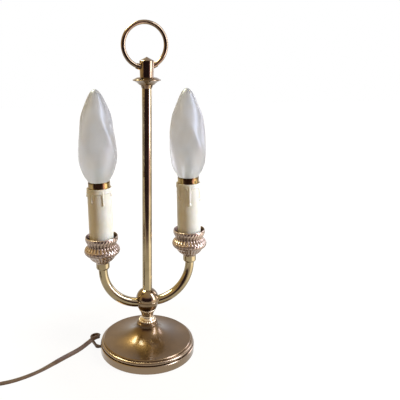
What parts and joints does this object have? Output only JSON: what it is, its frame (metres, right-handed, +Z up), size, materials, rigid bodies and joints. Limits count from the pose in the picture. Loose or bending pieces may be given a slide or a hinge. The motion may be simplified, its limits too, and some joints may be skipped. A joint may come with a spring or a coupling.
{
  "type": "bouillotte lamp",
  "caption": "Brass bouillotte lamp without its shade: bell base, ringed stem and curved arms that carry candle sleeves with twisted-flame bulbs, on a brown twin lead.",
  "frame": {"origin": "centre of the felt pad's lower face, on the table", "axes": "+Z up the stem, +X towards the right-hand candle, -Y towards the viewer; the lead lies to the -X side"},
  "size_m": [0.3111, 0.1159, 0.3684],
  "materials": {
    "antique_brass": "satin, aged",
    "gilt_brass": "cast, gilt, toned in the hollows",
    "bright_brass": "plain turned",
    "cast_iron": "as cast",
    "steel": "zinc plated",
    "green_felt": "felt",
    "brown_plastic": "moulded",
    "rocker_plastic": "moulded",
    "core_insulation": "extruded",
    "brown_flex": "extruded twin flex",
    "pin_metal": "nickel plated",
    "holder_ceramic": "glazed steatite",
    "candle_card": "waxed cream candle tube",
    "satin_glass": "satin etched",
    "black_glass": "vitrified",
    "clear_glass": "clear"
  },
  "bodies": {
    "lamp": {"base_shell": "antique_brass", "base_weight": "cast_iron", "base_plate": "steel", "felt_pad": "green_felt", "base_nut": "steel", "base_rod": "steel", "cord_grommet": "brown_plastic", "cord_grip": "brown_plastic", "base_screws": "steel", "lower_bead_ring": "antique_brass", "neck_spool": "antique_brass", "upper_bead_ring": "antique_brass", "cluster_bowl": "antique_brass", "cluster_cap": "antique_brass", "wire_joints": "steel", "base_wires": "core_insulation", "stem_tube": "antique_brass", "stem_rod": "steel", "collar_disc": "antique_brass", "finial_boss": "antique_brass", "carry_ring": "antique_brass", "cup_nuts": "steel", "lampholder_terminals": "bright_brass", "supply_cord": "brown_flex", "cord_coil": "brown_flex", "plug_body": "brown_plastic", "plug_pins": "pin_metal", "switch_case": "brown_plastic", "switch_contacts": "bright_brass", "left_arm": "antique_brass", "left_arm_wires": "core_insulation", "left_arm_collar": "antique_brass", "left_cup": "gilt_brass", "left_holder_tube": "steel", "left_holder_cap": "bright_brass", "left_holder_shell": "bright_brass", "left_holder_insert": "holder_ceramic", "left_springs": "steel", "right_arm": "antique_brass", "right_arm_wires": "core_insulation", "right_arm_collar": "antique_brass", "right_cup": "gilt_brass", "right_holder_tube": "steel", "right_holder_cap": "bright_brass", "right_holder_shell": "bright_brass", "right_holder_insert": "holder_ceramic", "right_springs": "steel"},
    "left_bulb": {"left_bulb_glass": "satin_glass", "left_bulb_cap": "bright_brass", "left_bulb_base": "black_glass", "left_bulb_mount": "clear_glass"},
    "left_candle_sleeve": {"left_sleeve": "candle_card"},
    "left_plunger_pair": {"left_plungers": "bright_brass"},
    "right_bulb": {"right_bulb_glass": "satin_glass", "right_bulb_cap": "bright_brass", "right_bulb_base": "black_glass", "right_bulb_mount": "clear_glass"},
    "right_candle_sleeve": {"right_sleeve": "candle_card"},
    "right_plunger_pair": {"right_plungers": "bright_brass"},
    "rocker": {"switch_rocker": "rocker_plastic"}
  },
  "joints": [
    {"name": "left_bulb_lift", "type": "slide", "parent": "lamp", "child": "left_bulb", "axis": [-0.0384, 0, 0.9993], "range_m": [0, 0.045]},
    {"name": "left_sleeve_turn", "type": "hinge", "parent": "lamp", "child": "left_candle_sleeve", "pos_m": [-0.05008, 0, 0.11279], "axis": [-0.0384, 0, 0.9993], "continuous": true},
    {"name": "left_plunger_press", "type": "slide", "parent": "lamp", "child": "left_plunger_pair", "axis": [-0.0384, 0, 0.9993], "range_m": [-0.002, 0], "stiffness_N_per_m": 800, "deforming": ["left_springs"]},
    {"name": "right_bulb_lift", "type": "slide", "parent": "lamp", "child": "right_bulb", "axis": [-0.0209, 0, 0.9998], "range_m": [0, 0.045]},
    {"name": "right_sleeve_turn", "type": "hinge", "parent": "lamp", "child": "right_candle_sleeve", "pos_m": [0.04906, 0, 0.1128], "axis": [-0.0209, 0, 0.9998], "continuous": true},
    {"name": "right_plunger_press", "type": "slide", "parent": "lamp", "child": "right_plunger_pair", "axis": [-0.0209, 0, 0.9998], "range_m": [-0.002, 0], "stiffness_N_per_m": 800, "deforming": ["right_springs"]},
    {"name": "rocker_swing", "type": "hinge", "parent": "lamp", "child": "rocker", "pos_m": [-0.19123, -0.04668, 0.0132], "axis": [0.2924, -0.9563, 0], "range_deg": [-12, 12]}
  ]
}
